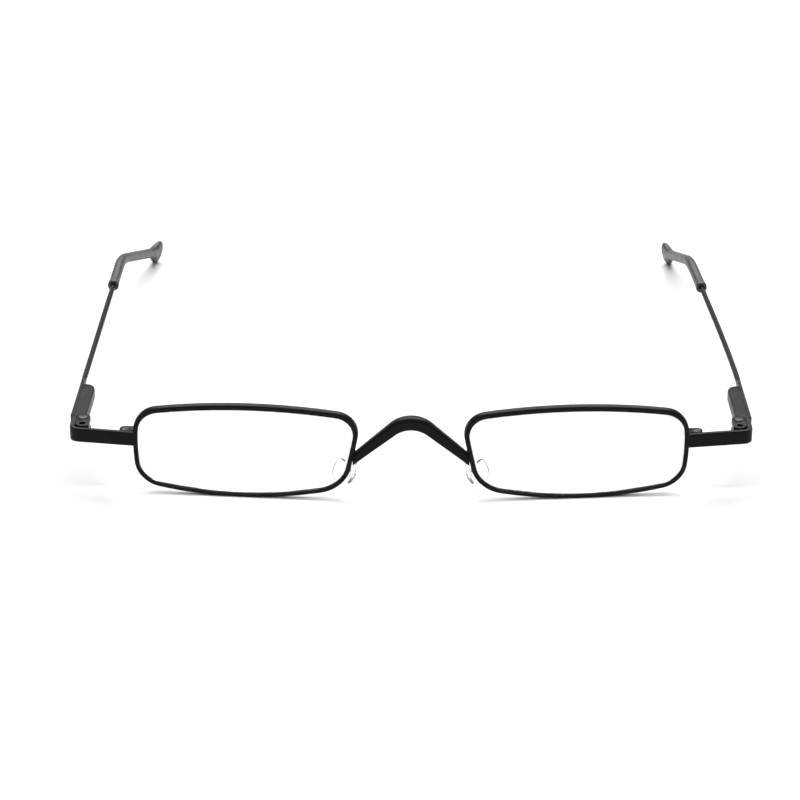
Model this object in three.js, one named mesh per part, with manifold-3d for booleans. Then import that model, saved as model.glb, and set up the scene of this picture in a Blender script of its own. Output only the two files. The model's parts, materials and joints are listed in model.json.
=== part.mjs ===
// Folding reading glasses: a slim metal front with two clear lenses, brazed endpieces,
// sprung hinges, and wire temples with moulded tips. Millimetres, +Z up, standing on Z = 0.
// The front faces -Y and the temples run back along +Y. X = 0 is the middle of the bridge.

import * as THREE from 'three';
import { mergeVertices } from 'three/addons/utils/BufferGeometryUtils.js';
import Module from 'manifold-3d';

const wasm = await Module();
wasm.setup();

// ---------------------------------------------------------------- driving dimensions

const DEPTH_MIDDLE = 65.725; // half of the front-to-back length, used to centre the model in Y

// Lens opening: four bowed sides with rounded corners, seen square on, temple side first.
// reach and facing place each side from the lens centre, bow is its radius, and corner is
// the radius of the corner that follows it.
const LENS_CENTRE_X = 32.53;
const LENS_CENTRE_Z = 10.3;
const LENS_RAISE = 0.36;
const LENS_SIDES = [
  { reach: 21.1, facing: 1.9, bow: 50, corner: 5.0 },
  { reach: 9.25, facing: 89.4, bow: 88, corner: 4.05 },
  { reach: 20.15, facing: 193.2, bow: 205, corner: 6.2 },
  { reach: 9.8, facing: 269.3, bow: 110, corner: 4.5 },
];
const LENS_TILT = 8; // degrees, top leaning forward
const LENS_WRAP = 4.5; // degrees, nose side forward
const DOME_RADIUS = 145; // the front's curve
const DOME_OFFSET = 0.33;
const LENS_BACK_RADIUS = 200;
const LENS_FRONT = 0.3; // how far its front face sits behind the rim's
const LENS_THICK = 1.25; // at its middle

const RIM_WIDTH = 0.98;
const RIM_DEPTH = 1.45;
const RIM_ROUND = 0.26;
const GROOVE_HALF = 0.3;
const LOCK_HEIGHT = 11.5; // where the rim is split
const LOCK_GAP = 0.2;

const ENDPIECE = { startX: 54.62, frontY: 1.5, thick: 1.0, high: 2.85, legX: 66.6, legEnd: 9.05 };
const ENDPIECE_SWEEP = 5; // degrees, receding outwards
const ENDPIECE_BEND = 1.6;
const ENDPIECE_LOW = 11.65; // its middle's height at the rim and at the corner
const ENDPIECE_HIGH = 12.1;
const ENDPIECE_CHAMFER = 0.2;

const LOCK = { axisX: 56.2, axisY: 4.25, inner: 53.75, round: 1.1, top: 12.95, bottom: 9.95 };
const LOCK_SCREW = { shaft: 0.45, head: 0.78, headHigh: 0.4, length: 3.3 };

const HINGE_X = 64.8;
const HINGE_Y = 8.0;
const HINGE_Z = 12.25;
const KNUCKLE_RADIUS = 1.45;
const KNUCKLE_TOP = 13.65;
const KNUCKLE_BOTTOM = 10.85;
const LEAF_FRONT = 3.7;
const LEAF_CHAMFER = { inner: 0.5, outer: 0.95 };
const HEAD_RECESS = { radius: 0.98, deep: 0.38 };
const HINGE_SCREW = { head: 0.9, headHigh: 0.42, length: 2.85, proud: 0.08 };
const EYE_RADIUS = 1.1;
const EYE_HIGH = 0.98;
const EYE_SLOT = 1.1;
const HINGE_PIN = 0.6;

const PLUNGER_X = 0.6; // offsets from the hinge axis, in the temple's own frame
const PLUNGER_RADIUS = 0.38;
const PLUNGER_END = 8.6;
const BORE_RADIUS = 0.75;
const BORE_END = 10.2;
const HOUSING = { inner: -0.5, outer: 1.95, front: 1.5, back: 18.3, high: 2.5 };
const STRIP = { inner: 2.0, outer: 2.7, front: 1.5, end: 18.5, wireFrom: 23.0, high: 2.5 };
const WIRE_RADIUS = 0.55;
const WIRE_X = 2.55;
const WIRE_STRAIGHT = 0.25; // share of the wire that runs straight back before it bows inwards

const SLEEVE_START = 76.6;
const BEND_AT = 94.0; // corner of the down-turn behind the ear
const BEND_REACH = 4.5;
const TIP_END = 126.2;
const TIP_END_Z = 2.2;
const TIP_RADIUS = 1.1;
const TIP_FLARE = { length: 9, high: 1.6 }; // the paddle's taper, and how much it adds to the half height
const TIP_LEAN = 14; // degrees, the paddle's top leaning inwards
const CORE_SHARE = 0.55; // how far along the tip its metal core reaches

const BRIDGE = { crownZ: 16.5, crownY: -1.0, radius: 5.6, armAngle: 39.6, footX: 10.92 };
const BRIDGE_CROWN = { high: 2.65, deep: 2.4 };
const BRIDGE_FOOT = { high: 1.8, deep: 1.7 };
const BRIDGE_BEND_SHARE = 0.3; // how far its section has changed where the arms begin

const PAD_CENTRE = [12.8, 5.5, 4.05];
const PAD_SPLAY = 45; // degrees, its width turned back from the front
const PAD_LEAN = -10; // degrees, turned in its own plane
const PAD_FACING = -25; // degrees, its top leaning to the nose
const PAD = { wide: 5.6, high: 7.4, thick: 1.6 };
const PAD_LUG_X = -1.1;
const PAD_PIVOT = -1.45;
const PAD_SCREW = { shaft: 0.21, head: 0.38, headHigh: 0.2, length: 1.75 };
const PAD_POCKET = { halfWide: 1.05, halfHigh: 1.25, floor: -0.3 };
const PAD_ARM_RADIUS = 0.34;

// Left is -X as seen from in front. Each temple is bent by hand a little differently.
const SIDES = {
  left: { sign: -1, toeIn: 1.1, bow: 0, tipInset: 4.95 },
  right: { sign: 1, toeIn: 0.7, bow: 2.7, tipInset: 1.94 },
};

const FIT = 0.05; // gap left between pieces that are brazed, pressed or slid together

// ---------------------------------------------------------------- materials

const paint = (color, roughness) => new THREE.MeshStandardMaterial({ color, roughness, metalness: 0.4 });
const FINISHES = {
  frame: () => paint(0x17181a, 0.42),
  screw: () => new THREE.MeshStandardMaterial({ color: 0x2a2a2c, roughness: 0.35, metalness: 0.9 }),
  steel: () => new THREE.MeshStandardMaterial({ color: 0x9a9a9a, roughness: 0.3, metalness: 1 }),
  lens: () => new THREE.MeshStandardMaterial({ color: 0xf4f8f8, roughness: 0.03, metalness: 0 }),
  pad: () => new THREE.MeshStandardMaterial({ color: 0xe6ebe8, roughness: 0.2, metalness: 0 }),
  tip: () => new THREE.MeshStandardMaterial({ color: 0x1c1d1f, roughness: 0.38, metalness: 0 }),
};

// ---------------------------------------------------------------- solid helpers

const vec = (x, y, z) => new THREE.Vector3(x, y, z);
const radians = THREE.MathUtils.degToRad;
const mix = THREE.MathUtils.lerp;

function signedVolume(positions, index) {
  let volume = 0;
  const [a, b, c] = [vec(), vec(), vec()];
  for (let i = 0; i < index.length; i += 3) {
    a.fromArray(positions, 3 * index[i]);
    b.fromArray(positions, 3 * index[i + 1]);
    c.fromArray(positions, 3 * index[i + 2]);
    volume += a.dot(b.cross(c)) / 6;
  }
  return volume;
}

// A closed solid through rings of equally many points, with a fan over each end.
function loft(rings) {
  const count = rings[0].length;
  const points = rings.flat();
  const index = [];
  for (let ring = 0; ring < rings.length - 1; ring += 1) {
    for (let k = 0; k < count; k += 1) {
      const next = (k + 1) % count;
      const [a, b] = [ring * count + k, ring * count + next];
      index.push(a, b, b + count, a, b + count, a + count);
    }
  }
  const last = (rings.length - 1) * count;
  for (const [start, flip] of [[0, true], [last, false]]) {
    const middle = points.slice(start, start + count).reduce((sum, p) => sum.add(p), vec(0, 0, 0));
    points.push(middle.divideScalar(count));
    for (let k = 0; k < count; k += 1) {
      const [a, b] = [start + k, start + ((k + 1) % count)];
      index.push(...(flip ? [b, a] : [a, b]), points.length - 1);
    }
  }
  const positions = points.flatMap((p) => [p.x, p.y, p.z]);
  if (signedVolume(positions, index) < 0) index.reverse();
  const geometry = new THREE.BufferGeometry();
  geometry.setAttribute('position', new THREE.Float32BufferAttribute(positions, 3));
  geometry.setIndex(index);
  return geometry;
}

function toSolid(geometry) {
  const bare = geometry.clone();
  bare.deleteAttribute('normal');
  bare.deleteAttribute('uv');
  const merged = mergeVertices(bare, 1e-4);
  const vertProperties = Float32Array.from(merged.attributes.position.array);
  const triVerts = Uint32Array.from(merged.index.array);
  return new wasm.Manifold(new wasm.Mesh({ numProp: 3, vertProperties, triVerts }));
}

function fromSolid(solid) {
  const mesh = solid.getMesh();
  const geometry = new THREE.BufferGeometry();
  geometry.setAttribute('position', new THREE.BufferAttribute(Float32Array.from(mesh.vertProperties), 3));
  geometry.setIndex(new THREE.BufferAttribute(Uint32Array.from(mesh.triVerts), 1));
  return geometry;
}

const cut = (geometry, ...tools) =>
  fromSolid(tools.reduce((solid, tool) => solid.subtract(toSolid(tool)), toSolid(geometry)));

const join = (...pieces) =>
  fromSolid(pieces.map(toSolid).reduce((sum, solid) => sum.add(solid)));

// Takes off anything below the surface that the glasses stand on, which leaves a small flat.
function standOnTable(geometry) {
  const above = box([-100, 100], [-200, 200], [0, 100]);
  return fromSolid(toSolid(geometry).intersect(toSolid(above)));
}

function box([x0, x1], [y0, y1], [z0, z1]) {
  const geometry = new THREE.BoxGeometry(x1 - x0, y1 - y0, z1 - z0);
  return geometry.translate((x0 + x1) / 2, (y0 + y1) / 2, (z0 + z1) / 2);
}

// A round bar along Z through (x, y).
function post(radius, x, y, z0, z1, sides = 20) {
  const geometry = new THREE.CylinderGeometry(radius, radius, z1 - z0, sides);
  return geometry.rotateX(Math.PI / 2).translate(x, y, (z0 + z1) / 2);
}

// A round bar along Y through (x, z).
function rod(radius, x, z, y0, y1, sides = 20) {
  const geometry = new THREE.CylinderGeometry(radius, radius, y1 - y0, sides);
  return geometry.translate(x, (y0 + y1) / 2, z);
}

function plate(shape, z0, z1, curveSegments = 10) {
  const geometry = new THREE.ExtrudeGeometry(shape, { depth: z1 - z0, bevelEnabled: false, curveSegments });
  return geometry.translate(0, 0, z0);
}

// A slotted screw standing on Z, its head's top at Z = 0.
function screw({ shaft, head, headHigh, length }) {
  const profile = [
    [0, -length],
    [shaft, -length],
    [shaft, -headHigh],
    [head, -headHigh],
    [head, -0.1],
    [head - 0.12, 0],
    [0, 0],
  ];
  const body = new THREE.LatheGeometry(profile.map(([r, z]) => new THREE.Vector2(r, z)), 20);
  body.rotateX(Math.PI / 2);
  const slot = box([-head, head], [-0.11, 0.11], [-0.2, 0.2]);
  return cut(body, slot);
}

// Points of a rounded section: squareness 1 is an ellipse, near 0 a rectangle.
function section(halfWide, halfHigh, squareness, count) {
  return Array.from({ length: count }, (_, k) => {
    const angle = (2 * Math.PI * (k + 0.5)) / count;
    const round = (value) => Math.sign(value) * Math.abs(value) ** squareness;
    return [halfWide * round(Math.cos(angle)), halfHigh * round(Math.sin(angle))];
  });
}

// A section placed across a path at a point, kept upright.
function acrossPath(point, tangent, outline) {
  const side = tangent.clone().cross(vec(0, 0, 1)).normalize();
  const up = side.clone().cross(tangent);
  return outline.map(([a, b]) => point.clone().addScaledVector(side, a).addScaledVector(up, b));
}

function named(name, geometry, finish) {
  const mesh = new THREE.Mesh(geometry, FINISHES[finish]());
  mesh.name = name;
  return mesh;
}

// ---------------------------------------------------------------- rim and lens

// The centre of the corner arc between two neighbouring sides.
function cornerCentre(first, second, radius) {
  const between = second.centre.clone().sub(first.centre);
  const distance = between.length();
  const reach = [first.bow - radius, second.bow - radius];
  const along = (reach[0] ** 2 - reach[1] ** 2 + distance ** 2) / (2 * distance);
  const across = Math.sqrt(reach[0] ** 2 - along ** 2);
  const forward = between.divideScalar(distance);
  const sideways = new THREE.Vector2(-forward.y, forward.x);
  return first.centre.clone().addScaledVector(forward, along).addScaledVector(sideways, across);
}

// Stations round the lens opening, from just above the rim's split to just below it. Each has
// a point on the opening's edge and the outward direction there.
function lensStations() {
  const middle = new THREE.Vector2(0, LENS_CENTRE_Z);
  const sides = LENS_SIDES.map(({ reach, facing, bow }) => {
    const outward = new THREE.Vector2(Math.cos(radians(facing)), Math.sin(radians(facing)));
    return { bow, centre: middle.clone().addScaledVector(outward, reach - bow) };
  });
  const corners = sides.map((side, k) => cornerCentre(side, sides[(k + 1) % 4], LENS_SIDES[k].corner));
  const angleTo = (from, to) => Math.atan2(to.y - from.y, to.x - from.x);
  const split = Math.asin((LOCK_HEIGHT - 0.2 - sides[0].centre.y) / sides[0].bow);
  const gap = LOCK_GAP / 2 / sides[0].bow;
  const arcs = [];
  sides.forEach(({ bow, centre }, k) => {
    const next = sides[(k + 1) % 4];
    const from = k === 0 ? split + gap : angleTo(centre, corners[(k + 3) % 4]);
    arcs.push({ centre, radius: bow, from, to: angleTo(centre, corners[k]), steps: 5 });
    const turn = { from: angleTo(centre, corners[k]), to: angleTo(next.centre, corners[k]) };
    arcs.push({ centre: corners[k], radius: LENS_SIDES[k].corner, ...turn, steps: 6 });
  });
  const start = angleTo(sides[0].centre, corners[3]);
  arcs.push({ centre: sides[0].centre, radius: sides[0].bow, from: start, to: split - gap, steps: 4 });
  return arcs.flatMap(({ centre, radius, from, to, steps }, n) => {
    const sweep = THREE.MathUtils.euclideanModulo(to - from, 2 * Math.PI);
    const first = n === 0 ? 0 : 1;
    return Array.from({ length: steps + 1 - first }, (_, k) => {
      const angle = from + (sweep * (k + first)) / steps;
      const outward = new THREE.Vector2(Math.cos(angle), Math.sin(angle));
      return { edge: centre.clone().addScaledVector(outward, radius), outward };
    });
  });
}

const LENS_PLACE = new THREE.Matrix4().makeRotationFromEuler(
  new THREE.Euler(radians(LENS_TILT), 0, radians(LENS_WRAP), 'ZYX'),
);
LENS_PLACE.setPosition(LENS_CENTRE_X, 0, LENS_RAISE);

// A point near the lens edge: outwards from the opening and back from the front's domed face.
function nearLens({ edge, outward }, offset, depth) {
  const p = edge.clone().addScaledVector(outward, offset);
  return onDome(p.x, p.y, depth);
}

function domeRise(u, v, radius) {
  return (u * u + (v - LENS_CENTRE_Z) ** 2) / (2 * radius);
}

function onDome(u, v, depth) {
  return vec(u, domeRise(u, v, DOME_RADIUS) - DOME_OFFSET + depth, v).applyMatrix4(LENS_PLACE);
}

function rim() {
  const middle = RIM_DEPTH / 2;
  const profile = [
    [0, 0],
    [RIM_WIDTH - RIM_ROUND, 0],
    [RIM_WIDTH, RIM_ROUND],
    [RIM_WIDTH, RIM_DEPTH - RIM_ROUND],
    [RIM_WIDTH - RIM_ROUND, RIM_DEPTH],
    [0, RIM_DEPTH],
    [0, middle + GROOVE_HALF],
    [GROOVE_HALF, middle],
    [0, middle - GROOVE_HALF],
  ];
  const rings = lensStations().map((station) => profile.map(([r, d]) => nearLens(station, r, d)));
  return standOnTable(loft(rings));
}

// A plus lens: a bevelled edge in the rim's groove, a domed front and a flatter back.
function lens() {
  const stations = lensStations();
  const middle = RIM_DEPTH / 2;
  const bevel = GROOVE_HALF - 0.03;
  const backDepth = (u, v) => {
    const thin = domeRise(u, v, DOME_RADIUS) - domeRise(u, v, LENS_BACK_RADIUS);
    return LENS_FRONT + LENS_THICK - thin;
  };
  const face = (share, depth) => stations.map(({ edge, outward }) => {
    const p = edge.clone().addScaledVector(outward, -FIT);
    p.set(p.x * share, mix(LENS_CENTRE_Z, p.y, share));
    return onDome(p.x, p.y, depth(p.x, p.y));
  });
  const edge = (offset, depth) => stations.map((station) => nearLens(station, offset, depth));
  const shares = [0.12, 0.45, 0.75, 1];
  return loft([
    ...shares.map((share) => face(share, () => LENS_FRONT)),
    edge(-FIT, middle - bevel),
    edge(bevel - FIT, middle),
    edge(-FIT, middle + bevel),
    ...shares.reverse().map((share) => face(share, backDepth)),
  ]);
}

// ---------------------------------------------------------------- front

// A crowned bar from rim to rim, wide and deep at the crown and slimmer at its feet.
function bridge() {
  const { crownZ, crownY, radius, armAngle, footX } = BRIDGE;
  const turn = radians(armAngle);
  const outline = (share) =>
    section(mix(BRIDGE_CROWN.deep, BRIDGE_FOOT.deep, share) / 2,
      mix(BRIDGE_CROWN.high, BRIDGE_FOOT.high, share) / 2, 0.55, 12);
  const ring = (x, z, slope, share) => {
    const up = vec(-Math.sin(slope), 0, Math.cos(slope));
    return outline(share).map(([a, b]) => vec(x, crownY + a, z).addScaledVector(up, b));
  };
  const rings = [];
  const crownSteps = 12;
  for (let k = 0; k <= crownSteps; k += 1) {
    const angle = mix(-turn, turn, k / crownSteps);
    const share = BRIDGE_BEND_SHARE * (angle / turn) ** 2;
    rings.push(ring(radius * Math.sin(angle), crownZ - radius * (1 - Math.cos(angle)), -angle, share));
  }
  const bendX = radius * Math.sin(turn);
  const bendZ = crownZ - radius * (1 - Math.cos(turn));
  for (const along of [0.35, 0.75, 1]) {
    const share = mix(BRIDGE_BEND_SHARE, 1, along);
    const x = mix(bendX, footX, along);
    const z = bendZ - (x - bendX) * Math.tan(turn);
    rings.push(ring(x, z, -turn, share));
    rings.unshift(ring(-x, z, turn, share));
  }
  // The end faces stand upright against the rims.
  for (const [end, side] of [[rings[0], -1], [rings.at(-1), 1]]) {
    for (const p of end) {
      const slide = side * footX - p.x;
      p.x += slide;
      p.z -= side * slide * Math.tan(turn);
    }
  }
  return loft(rings);
}

// A flat bar from the rim out to the corner, then back along the temple to the hinge.
function endpiece() {
  const { startX, frontY, thick, high, legX, legEnd } = ENDPIECE;
  const sweep = radians(ENDPIECE_SWEEP);
  const chamfer = ENDPIECE_CHAMFER;
  const [w, h] = [thick / 2, high / 2];
  const outline = [
    [w - chamfer, h], [-w + chamfer, h], [-w, h - chamfer], [-w, -h + chamfer],
    [-w + chamfer, -h], [w - chamfer, -h], [w, -h + chamfer], [w, h - chamfer],
  ];
  const centreX = legX - ENDPIECE_BEND;
  const barEndX = centreX + ENDPIECE_BEND * Math.sin(sweep);
  const barEndY = frontY + w + (barEndX - startX) * Math.tan(sweep);
  const centreY = barEndY + ENDPIECE_BEND * Math.cos(sweep);
  const path = [[startX, frontY + w, sweep, ENDPIECE_LOW]];
  const steps = 6;
  for (let k = 0; k <= steps; k += 1) {
    const heading = mix(sweep, Math.PI / 2, k / steps);
    const x = centreX + ENDPIECE_BEND * Math.sin(heading);
    const y = centreY - ENDPIECE_BEND * Math.cos(heading);
    path.push([x, y, heading, ENDPIECE_HIGH]);
  }
  path.push([legX, legEnd, Math.PI / 2, HINGE_Z]);
  return loft(path.map(([x, y, heading, z]) =>
    acrossPath(vec(x, y, z), vec(Math.cos(heading), Math.sin(heading), 0), outline)));
}

function lockBlock(z0, z1, counterbore) {
  const { axisX, axisY, inner, round } = LOCK;
  const shape = new THREE.Shape();
  shape.moveTo(inner, axisY - round);
  shape.absarc(axisX, axisY, round, -Math.PI / 2, Math.PI / 2, false);
  shape.lineTo(inner, axisY + round);
  shape.closePath();
  const { shaft, head, headHigh } = LOCK_SCREW;
  const tools = [post(shaft + FIT, axisX, axisY, z0 - 1, z1 + 1, 16)];
  if (counterbore) tools.push(post(head + 0.07, axisX, axisY, z1 - headHigh - 0.1, z1 + 1, 16));
  return cut(plate(shape, z0, z1, 8), ...tools);
}

function lockScrew() {
  return screw(LOCK_SCREW).translate(LOCK.axisX, LOCK.axisY, LOCK.top - 0.05);
}

// The front half of the hinge: a block on the endpiece's leg with two knuckles.
function hingeLeaf() {
  const outer = ENDPIECE.legX - ENDPIECE.thick / 2 - FIT;
  const inner = HINGE_X - KNUCKLE_RADIUS;
  const meet = Math.acos((outer - HINGE_X) / KNUCKLE_RADIUS);
  const shape = new THREE.Shape();
  shape.moveTo(inner + LEAF_CHAMFER.inner, LEAF_FRONT);
  shape.lineTo(outer - LEAF_CHAMFER.outer, LEAF_FRONT);
  shape.lineTo(outer, LEAF_FRONT + LEAF_CHAMFER.outer);
  shape.absarc(HINGE_X, HINGE_Y, KNUCKLE_RADIUS, meet, Math.PI, false);
  shape.lineTo(inner, LEAF_FRONT + LEAF_CHAMFER.inner);
  shape.closePath();
  const slotLow = HINGE_Z - EYE_SLOT / 2;
  const slot = box([HINGE_X - 3, HINGE_X + 3], [HINGE_Y - EYE_RADIUS - 0.12, HINGE_Y + 3],
    [slotLow, slotLow + EYE_SLOT]);
  const hole = post(HINGE_PIN + 0.06, HINGE_X, HINGE_Y, KNUCKLE_BOTTOM - 1, KNUCKLE_TOP + 1);
  const recess = post(HEAD_RECESS.radius, HINGE_X, HINGE_Y, KNUCKLE_TOP - HEAD_RECESS.deep, KNUCKLE_TOP + 1);
  return cut(plate(shape, KNUCKLE_BOTTOM, KNUCKLE_TOP, 12), slot, hole, recess);
}

function hingeScrew() {
  const geometry = screw({ shaft: HINGE_PIN, ...HINGE_SCREW });
  return geometry.translate(HINGE_X, HINGE_Y, KNUCKLE_TOP + HINGE_SCREW.proud);
}

// ---------------------------------------------------------------- nose pads

const PAD_PLACE = new THREE.Matrix4().makeRotationFromEuler(
  new THREE.Euler(radians(PAD_FACING), radians(PAD_LEAN), radians(PAD_SPLAY), 'ZYX'),
);
PAD_PLACE.setPosition(...PAD_CENTRE);

// In the pad's own frame X is its width, Z its height, and +Y faces the nose.
function nosePad() {
  const outline = (share) => Array.from({ length: 24 }, (_, k) => {
    const angle = (2 * Math.PI * k) / 24;
    const x = (PAD.wide / 2) * Math.sin(angle) * (1 - 0.2 * Math.cos(angle));
    return [x * share, (PAD.high / 2) * Math.cos(angle) * share];
  });
  const half = PAD.thick / 2;
  const ring = (share, y) => outline(share).map(([x, z]) => vec(x, y, z));
  const body = loft([
    ring(0.3, half), ring(0.62, half * 0.86), ring(0.86, half * 0.5), ring(0.97, half * 0.1),
    ring(1, -half * 0.35), ring(0.96, -half * 0.78), ring(0.86, -half), ring(0.3, -half),
  ]);
  const { halfWide, halfHigh, floor } = PAD_POCKET;
  const pocket = box([PAD_LUG_X - halfWide, PAD_LUG_X + halfWide], [-half - 1, floor], [-halfHigh, halfHigh]);
  return cut(body, pocket).applyMatrix4(PAD_PLACE);
}

// The plate moulded into the pad, with the lug that the box holds.
function padCore() {
  const back = -PAD.thick / 2;
  const { halfWide, halfHigh, floor } = PAD_POCKET;
  const [w, h] = [halfWide - FIT, halfHigh - FIT];
  const base = box([PAD_LUG_X - w, PAD_LUG_X + w], [back, floor - FIT], [-h, h]);
  const neck = box([PAD_LUG_X - 0.36, PAD_LUG_X + 0.36], [PAD_PIVOT, back + 0.1], [-0.46, 0.46]);
  const eye = alongPadWidth(0.46, PAD_LUG_X - 0.36, PAD_LUG_X + 0.36);
  const hole = alongPadWidth(0.28, PAD_LUG_X - 2, PAD_LUG_X + 2);
  return cut(join(base, neck, eye), hole).applyMatrix4(PAD_PLACE);
}

function alongPadWidth(radius, x0, x1) {
  const geometry = new THREE.CylinderGeometry(radius, radius, x1 - x0, 16);
  return geometry.rotateZ(Math.PI / 2).translate((x0 + x1) / 2, PAD_PIVOT, 0);
}

// A small channel, open towards the pad, that the lug rocks in.
function padBox() {
  const body = box([PAD_LUG_X - 0.75, PAD_LUG_X + 0.75], [PAD_PIVOT - 0.85, PAD_PIVOT + 0.42], [-0.62, 0.62]);
  const channel = box([PAD_LUG_X - 0.43, PAD_LUG_X + 0.43], [PAD_PIVOT - 0.53, 0], [-2, 2]);
  const hole = alongPadWidth(0.28, PAD_LUG_X - 2, PAD_LUG_X + 2);
  return cut(body, channel, hole).applyMatrix4(PAD_PLACE);
}

function padScrew() {
  const geometry = screw(PAD_SCREW);
  geometry.rotateY(-Math.PI / 2).translate(PAD_LUG_X - 0.98, PAD_PIVOT, 0);
  return geometry.applyMatrix4(PAD_PLACE);
}

// A wire from the back of the rim, under the bridge's foot, round to the pad's box.
function padArm() {
  const end = vec(PAD_LUG_X, PAD_PIVOT - 0.9, 0).applyMatrix4(PAD_PLACE);
  const before = vec(PAD_LUG_X, PAD_PIVOT - 1.3, 0.1).applyMatrix4(PAD_PLACE);
  const route = new THREE.CatmullRomCurve3([
    vec(12.34, 0.42, 6.35), vec(12.65, 1.3, 6.35), vec(13.1, 2.1, 5.7), before, end,
  ]);
  const steps = 14;
  const outline = section(PAD_ARM_RADIUS, PAD_ARM_RADIUS, 1, 8);
  const rings = Array.from({ length: steps + 1 }, (_, k) =>
    acrossPath(route.getPointAt(k / steps), route.getTangentAt(k / steps), outline));
  return loft(rings);
}

// ---------------------------------------------------------------- temple, in the hinge's frame

// The eye that turns on the hinge screw, with the shaft that draws the temple home.
function hingePlunger() {
  const eye = post(EYE_RADIUS, 0, 0, HINGE_Z - EYE_HIGH / 2, HINGE_Z + EYE_HIGH / 2, 24);
  const shaft = rod(PLUNGER_RADIUS, PLUNGER_X, HINGE_Z, 0.72, PLUNGER_END, 16);
  const hole = post(HINGE_PIN + 0.08, 0, 0, HINGE_Z - 3, HINGE_Z + 3, 24);
  return cut(join(eye, shaft), hole);
}

function ringOnPlunger(outer, y0, y1, sides) {
  const bore = rod(PLUNGER_RADIUS + FIT, PLUNGER_X, HINGE_Z, y0 - 1, y1 + 1, 16);
  return cut(rod(outer, PLUNGER_X, HINGE_Z, y0, y1, sides), bore);
}

const springBush = () => ringOnPlunger(BORE_RADIUS - FIT, HOUSING.front + 0.05, 2.5, 16);
const plungerNut = () => ringOnPlunger(BORE_RADIUS - 0.08, 7.5, 8.2, 6);

function hingeSpring() {
  const turns = 6;
  const stepsPerTurn = 10;
  const [from, to] = [2.72, 7.3];
  const coil = BORE_RADIUS - 0.18;
  const rings = Array.from({ length: turns * stepsPerTurn + 1 }, (_, k) => {
    const share = k / (turns * stepsPerTurn);
    const angle = 2 * Math.PI * turns * share;
    const out = vec(Math.cos(angle), 0, Math.sin(angle));
    const centre = vec(PLUNGER_X, mix(from, to, share), HINGE_Z).addScaledVector(out, coil);
    return section(0.09, 0.09, 1, 5).map(([a, b]) =>
      centre.clone().addScaledVector(out, a).add(vec(0, b, 0)));
  });
  return loft(rings);
}

// A box brazed inside the temple strip, bored from the front for the plunger and spring.
function springHousing() {
  const { inner, outer, front, back, high } = HOUSING;
  const count = 16;
  const bore = (y) => section(BORE_RADIUS, BORE_RADIUS, 1, count).map(([a, b]) =>
    vec(PLUNGER_X + a, y, HINGE_Z + b));
  const shell = (y, share, squareness) => {
    const wide = (outer - inner) * share;
    return section(wide / 2, (high / 2) * Math.sqrt(share), squareness, count).map(([a, b]) =>
      vec(outer - wide / 2 + a, y, HINGE_Z + b));
  };
  return loft([
    bore(BORE_END), bore(front),
    shell(front, 0.96, 0.3), shell(front + 0.5, 1, 0.3), shell(back - 3.2, 1, 0.3),
    shell(back - 1.7, 0.93, 0.35), shell(back - 0.7, 0.76, 0.45), shell(back, 0.4, 0.6),
  ]);
}

// The line that the wire and its tip follow: back, bowed a little inwards, turned down behind the
// ear, then straight.
function templeRoute({ bow, tipInset }) {
  const start = vec(WIRE_X, STRIP.wireFrom, HINGE_Z);
  const straight = vec(WIRE_X, mix(STRIP.wireFrom, BEND_AT, WIRE_STRAIGHT), HINGE_Z);
  const corner = vec(WIRE_X - bow, BEND_AT, HINGE_Z);
  const end = vec(WIRE_X - bow - tipInset, TIP_END, TIP_END_Z);
  const toward = (point) => corner.clone().addScaledVector(point.clone().sub(corner).normalize(), BEND_REACH);
  const [before, after] = [toward(straight), toward(end)];
  const route = new THREE.CurvePath();
  route.add(new THREE.QuadraticBezierCurve3(start, straight, before));
  route.add(new THREE.QuadraticBezierCurve3(before, corner, after));
  route.add(new THREE.LineCurve3(after, end));
  return route;
}

function onRoute(route, distance, outline) {
  const share = THREE.MathUtils.clamp(distance / route.getLength(), 0, 1);
  return acrossPath(route.getPointAt(share), route.getTangentAt(share), outline);
}

// Distances along a temple's route: the sleeve's mouth, the bend, and the end of the metal core.
function templeStops(route) {
  const mouth = SLEEVE_START - STRIP.wireFrom;
  const total = route.getLength();
  return { mouth, bend: route.curves[0].getLength(), core: mix(mouth, total, CORE_SHARE), total };
}

// Even distances from one stop to another, the first left out.
const spread = (from, to, steps) => Array.from({ length: steps }, (_, k) => mix(from, to, (k + 1) / steps));

// A flat strip beside the housing that becomes a round wire, whose end is the tip's core.
function templeArm(shape) {
  const count = 12;
  const { inner, outer, front, end, wireFrom, high } = STRIP;
  const strip = (y, share) => {
    const squareness = mix(0.3, 1, share);
    const halfWide = mix((outer - inner) / 2, WIRE_RADIUS, share);
    const halfHigh = mix(high / 2, WIRE_RADIUS, share);
    const x = mix((inner + outer) / 2, WIRE_X, share);
    return section(halfWide, halfHigh, squareness, count).map(([a, b]) => vec(x + a, y, HINGE_Z + b));
  };
  const route = templeRoute(shape);
  const { mouth, bend, core } = templeStops(route);
  const wire = section(WIRE_RADIUS, WIRE_RADIUS, 1, count);
  const distances = [0, ...spread(0, mouth, 4), bend, ...spread(bend, core, 5)];
  return loft([
    strip(front, 0), strip(end, 0), strip(mix(end, wireFrom, 0.5), 0.55),
    ...distances.map((distance) => onRoute(route, distance, wire)),
  ]);
}

// Half of the tip's width and height at a distance from its mouth and from its end.
function tipHalfSizes(fromMouth, toEnd) {
  const mouthBead = 0.1 * (1 - THREE.MathUtils.smoothstep(fromMouth, 1.2, 2.6));
  const wide = TIP_RADIUS + mouthBead;
  const flare = 1 - THREE.MathUtils.smoothstep(toEnd, 0.8, TIP_FLARE.length);
  const roundOff = mix(0.4, 1, Math.sqrt(1 - (1 - Math.min(toEnd / 0.9, 1)) ** 2));
  return [wide * roundOff, (wide + TIP_FLARE.high * flare ** 1.6) * mix(1, roundOff, 0.55)];
}

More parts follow.
